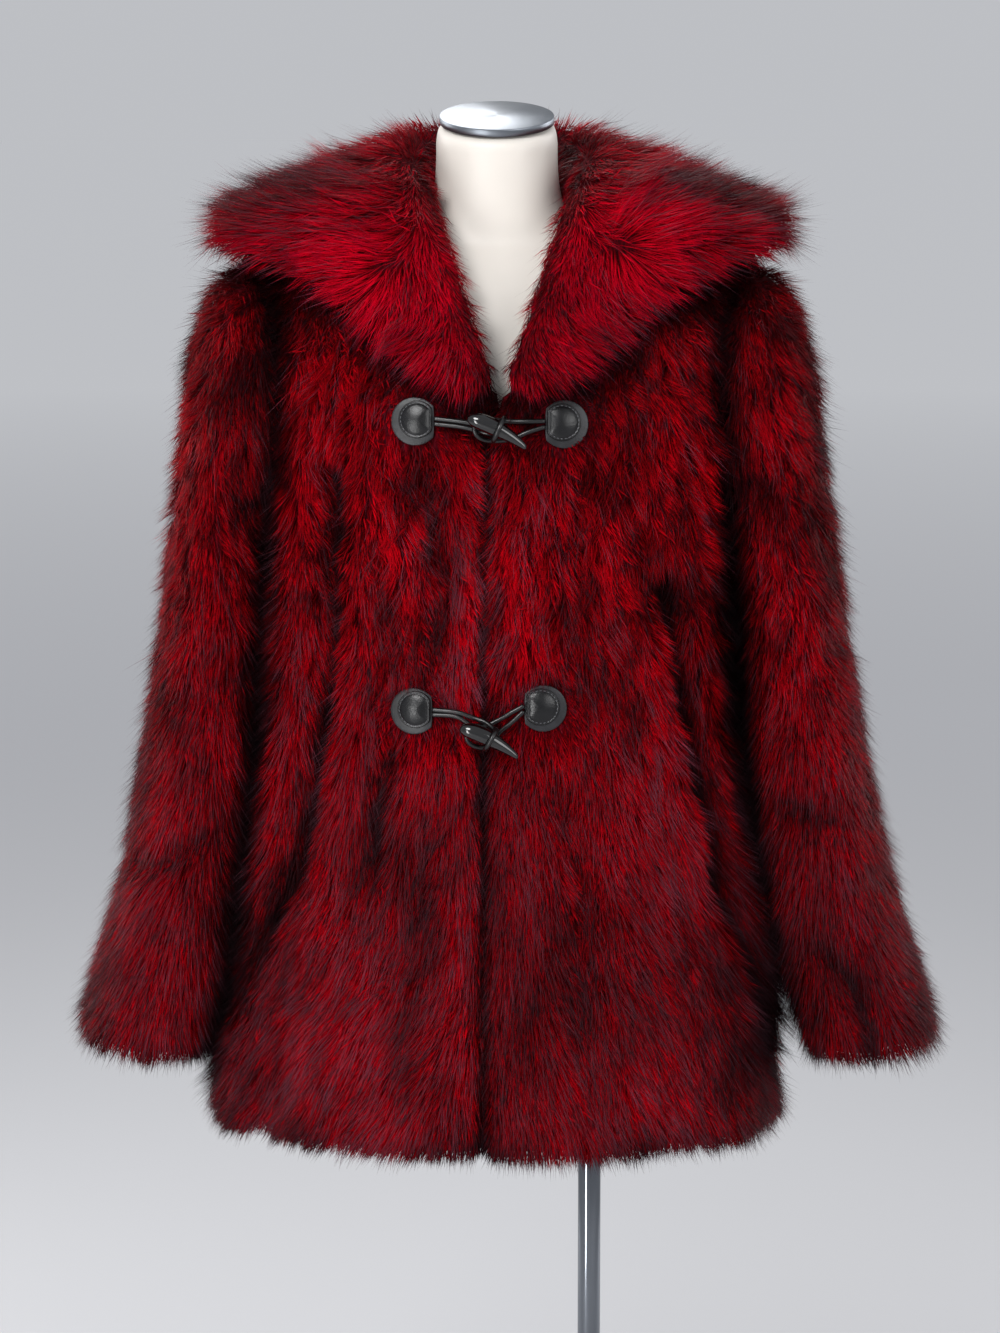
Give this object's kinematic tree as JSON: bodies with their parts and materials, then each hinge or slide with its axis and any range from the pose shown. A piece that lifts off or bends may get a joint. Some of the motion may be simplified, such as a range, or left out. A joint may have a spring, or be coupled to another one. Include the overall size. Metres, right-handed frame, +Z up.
{
  "type": "faux fur jacket on a dress form",
  "caption": "Hip-length A-line faux fur jacket with a wide sailor collar and toggle closures, standing on a limbless dress form with a pole and a round base.",
  "frame": {"origin": "centre of the round base plate's underside, on the floor", "axes": "+Z up; the fastened front faces -Y; +X towards the wearer's left"},
  "size_m": [0.6976, 0.34, 1.4322],
  "materials": {
    "fur_cloth": "long-pile faux fur, dark tipped",
    "leather": "grained, semi-gloss",
    "cord": "waxed round cord",
    "horn": "polished horn",
    "form_shell": "smooth satin shell",
    "brushed_cap": "radially brushed",
    "chrome_stand": "polished"
  },
  "bodies": {
    "root": {"front_left": "fur_cloth", "front_right": "fur_cloth", "back_left": "fur_cloth", "back_right": "fur_cloth", "sleeve_left_front": "fur_cloth", "sleeve_left_back": "fur_cloth", "sleeve_right_front": "fur_cloth", "sleeve_right_back": "fur_cloth", "collar": "fur_cloth", "patch_upper_right": "leather", "patch_top_upper_right": "leather", "patch_upper_left": "leather", "patch_top_upper_left": "leather", "patch_lower_right": "leather", "patch_top_lower_right": "leather", "patch_lower_left": "leather", "patch_top_lower_left": "leather", "toggle_upper": "horn", "toggle_cord_upper": "cord", "loop_cord_upper": "cord", "toggle_lower": "horn", "toggle_cord_lower": "cord", "loop_cord_lower": "cord", "form_torso": "form_shell", "form_neck_cap": "brushed_cap", "form_flange": "chrome_stand", "stand_pole": "chrome_stand", "stand_boss": "chrome_stand", "stand_base": "chrome_stand"}
  },
  "joints": []
}
